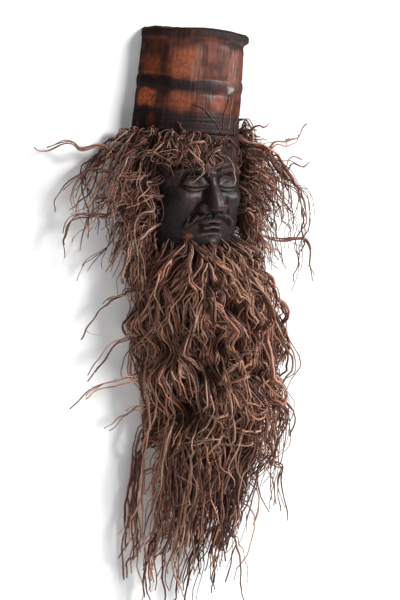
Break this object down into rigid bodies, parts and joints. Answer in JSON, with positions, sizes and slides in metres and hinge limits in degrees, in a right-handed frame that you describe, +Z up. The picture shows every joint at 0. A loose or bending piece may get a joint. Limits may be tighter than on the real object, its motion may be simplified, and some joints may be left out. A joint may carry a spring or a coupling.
{
  "type": "bamboo root wall mask",
  "caption": "Carved face mask made from the root end of a split bamboo culm: tall half-round hat, hollow-backed face, and hair and beard of hanging roots; hangs on a wall by a ring.",
  "frame": {"origin": "middle of the sawn back edge of the crown, the culm's cross wall that closes the top of the hat, on the plane of the wall", "axes": "+Z up, the way the mask hangs; +Y into the wall, so the face looks along -Y; +X to the viewer's right"},
  "size_m": [0.3135, 0.0856, 0.5745],
  "materials": {
    "bamboo_wood": "stained and varnished, scorched in bands",
    "septum_wood": "dark stain, matt",
    "carved_wood": "near black stain, worn to a half gloss",
    "root_fibre": "dry, dull, reddish brown",
    "bar_wood": "bare sawn wood",
    "steel": "zinc plated"
  },
  "bodies": {
    "mask": {"hat_shell": "bamboo_wood", "crown_septum": "septum_wood", "middle_septum": "septum_wood", "brow_septum": "septum_wood", "hanging_bar": "bar_wood", "hanger_strap": "steel", "hanger_screw": "steel", "carved_head": "carved_wood", "rootstock": "septum_wood", "beard_outer_1": "root_fibre", "beard_outer_2": "root_fibre", "beard_outer_3": "root_fibre", "beard_outer_4": "root_fibre", "beard_outer_5": "root_fibre", "beard_outer_6": "root_fibre", "beard_outer_7": "root_fibre", "beard_middle_1": "root_fibre", "beard_middle_2": "root_fibre", "beard_middle_3": "root_fibre", "beard_middle_4": "root_fibre", "beard_middle_5": "root_fibre", "beard_middle_6": "root_fibre", "beard_inner_1": "root_fibre", "beard_inner_2": "root_fibre", "beard_inner_3": "root_fibre", "beard_inner_4": "root_fibre", "beard_inner_5": "root_fibre", "hair_left_back_1": "root_fibre", "hair_left_back_2": "root_fibre", "hair_left_back_3": "root_fibre", "hair_left_front_1": "root_fibre", "hair_left_front_2": "root_fibre", "hair_left_front_3": "root_fibre", "hair_right_back_1": "root_fibre", "hair_right_back_2": "root_fibre", "hair_right_back_3": "root_fibre", "hair_right_front_1": "root_fibre", "hair_right_front_2": "root_fibre", "hair_right_front_3": "root_fibre", "forelock_1": "root_fibre", "forelock_2": "root_fibre", "forelock_3": "root_fibre", "forelock_4": "root_fibre", "hair_root_left_1": "root_fibre", "hair_root_left_2": "root_fibre", "hair_root_left_3": "root_fibre", "hair_root_right_1": "root_fibre", "hair_root_right_2": "root_fibre", "hair_root_right_3": "root_fibre", "beard_root_left_1": "root_fibre", "beard_root_left_2": "root_fibre", "beard_root_left_3": "root_fibre", "beard_root_left_4": "root_fibre", "beard_root_left_5": "root_fibre", "beard_root_right_1": "root_fibre", "beard_root_right_2": "root_fibre", "beard_root_low_1": "root_fibre", "beard_root_low_2": "root_fibre"},
    "ring": {"hanger_ring": "steel"}
  },
  "joints": [
    {"name": "ring_hinge", "type": "hinge", "parent": "mask", "child": "ring", "pos_m": [-0.00278, -0.00305, -0.02439], "axis": [0.9936, 0, -0.1132], "range_deg": [-170, 90]}
  ]
}
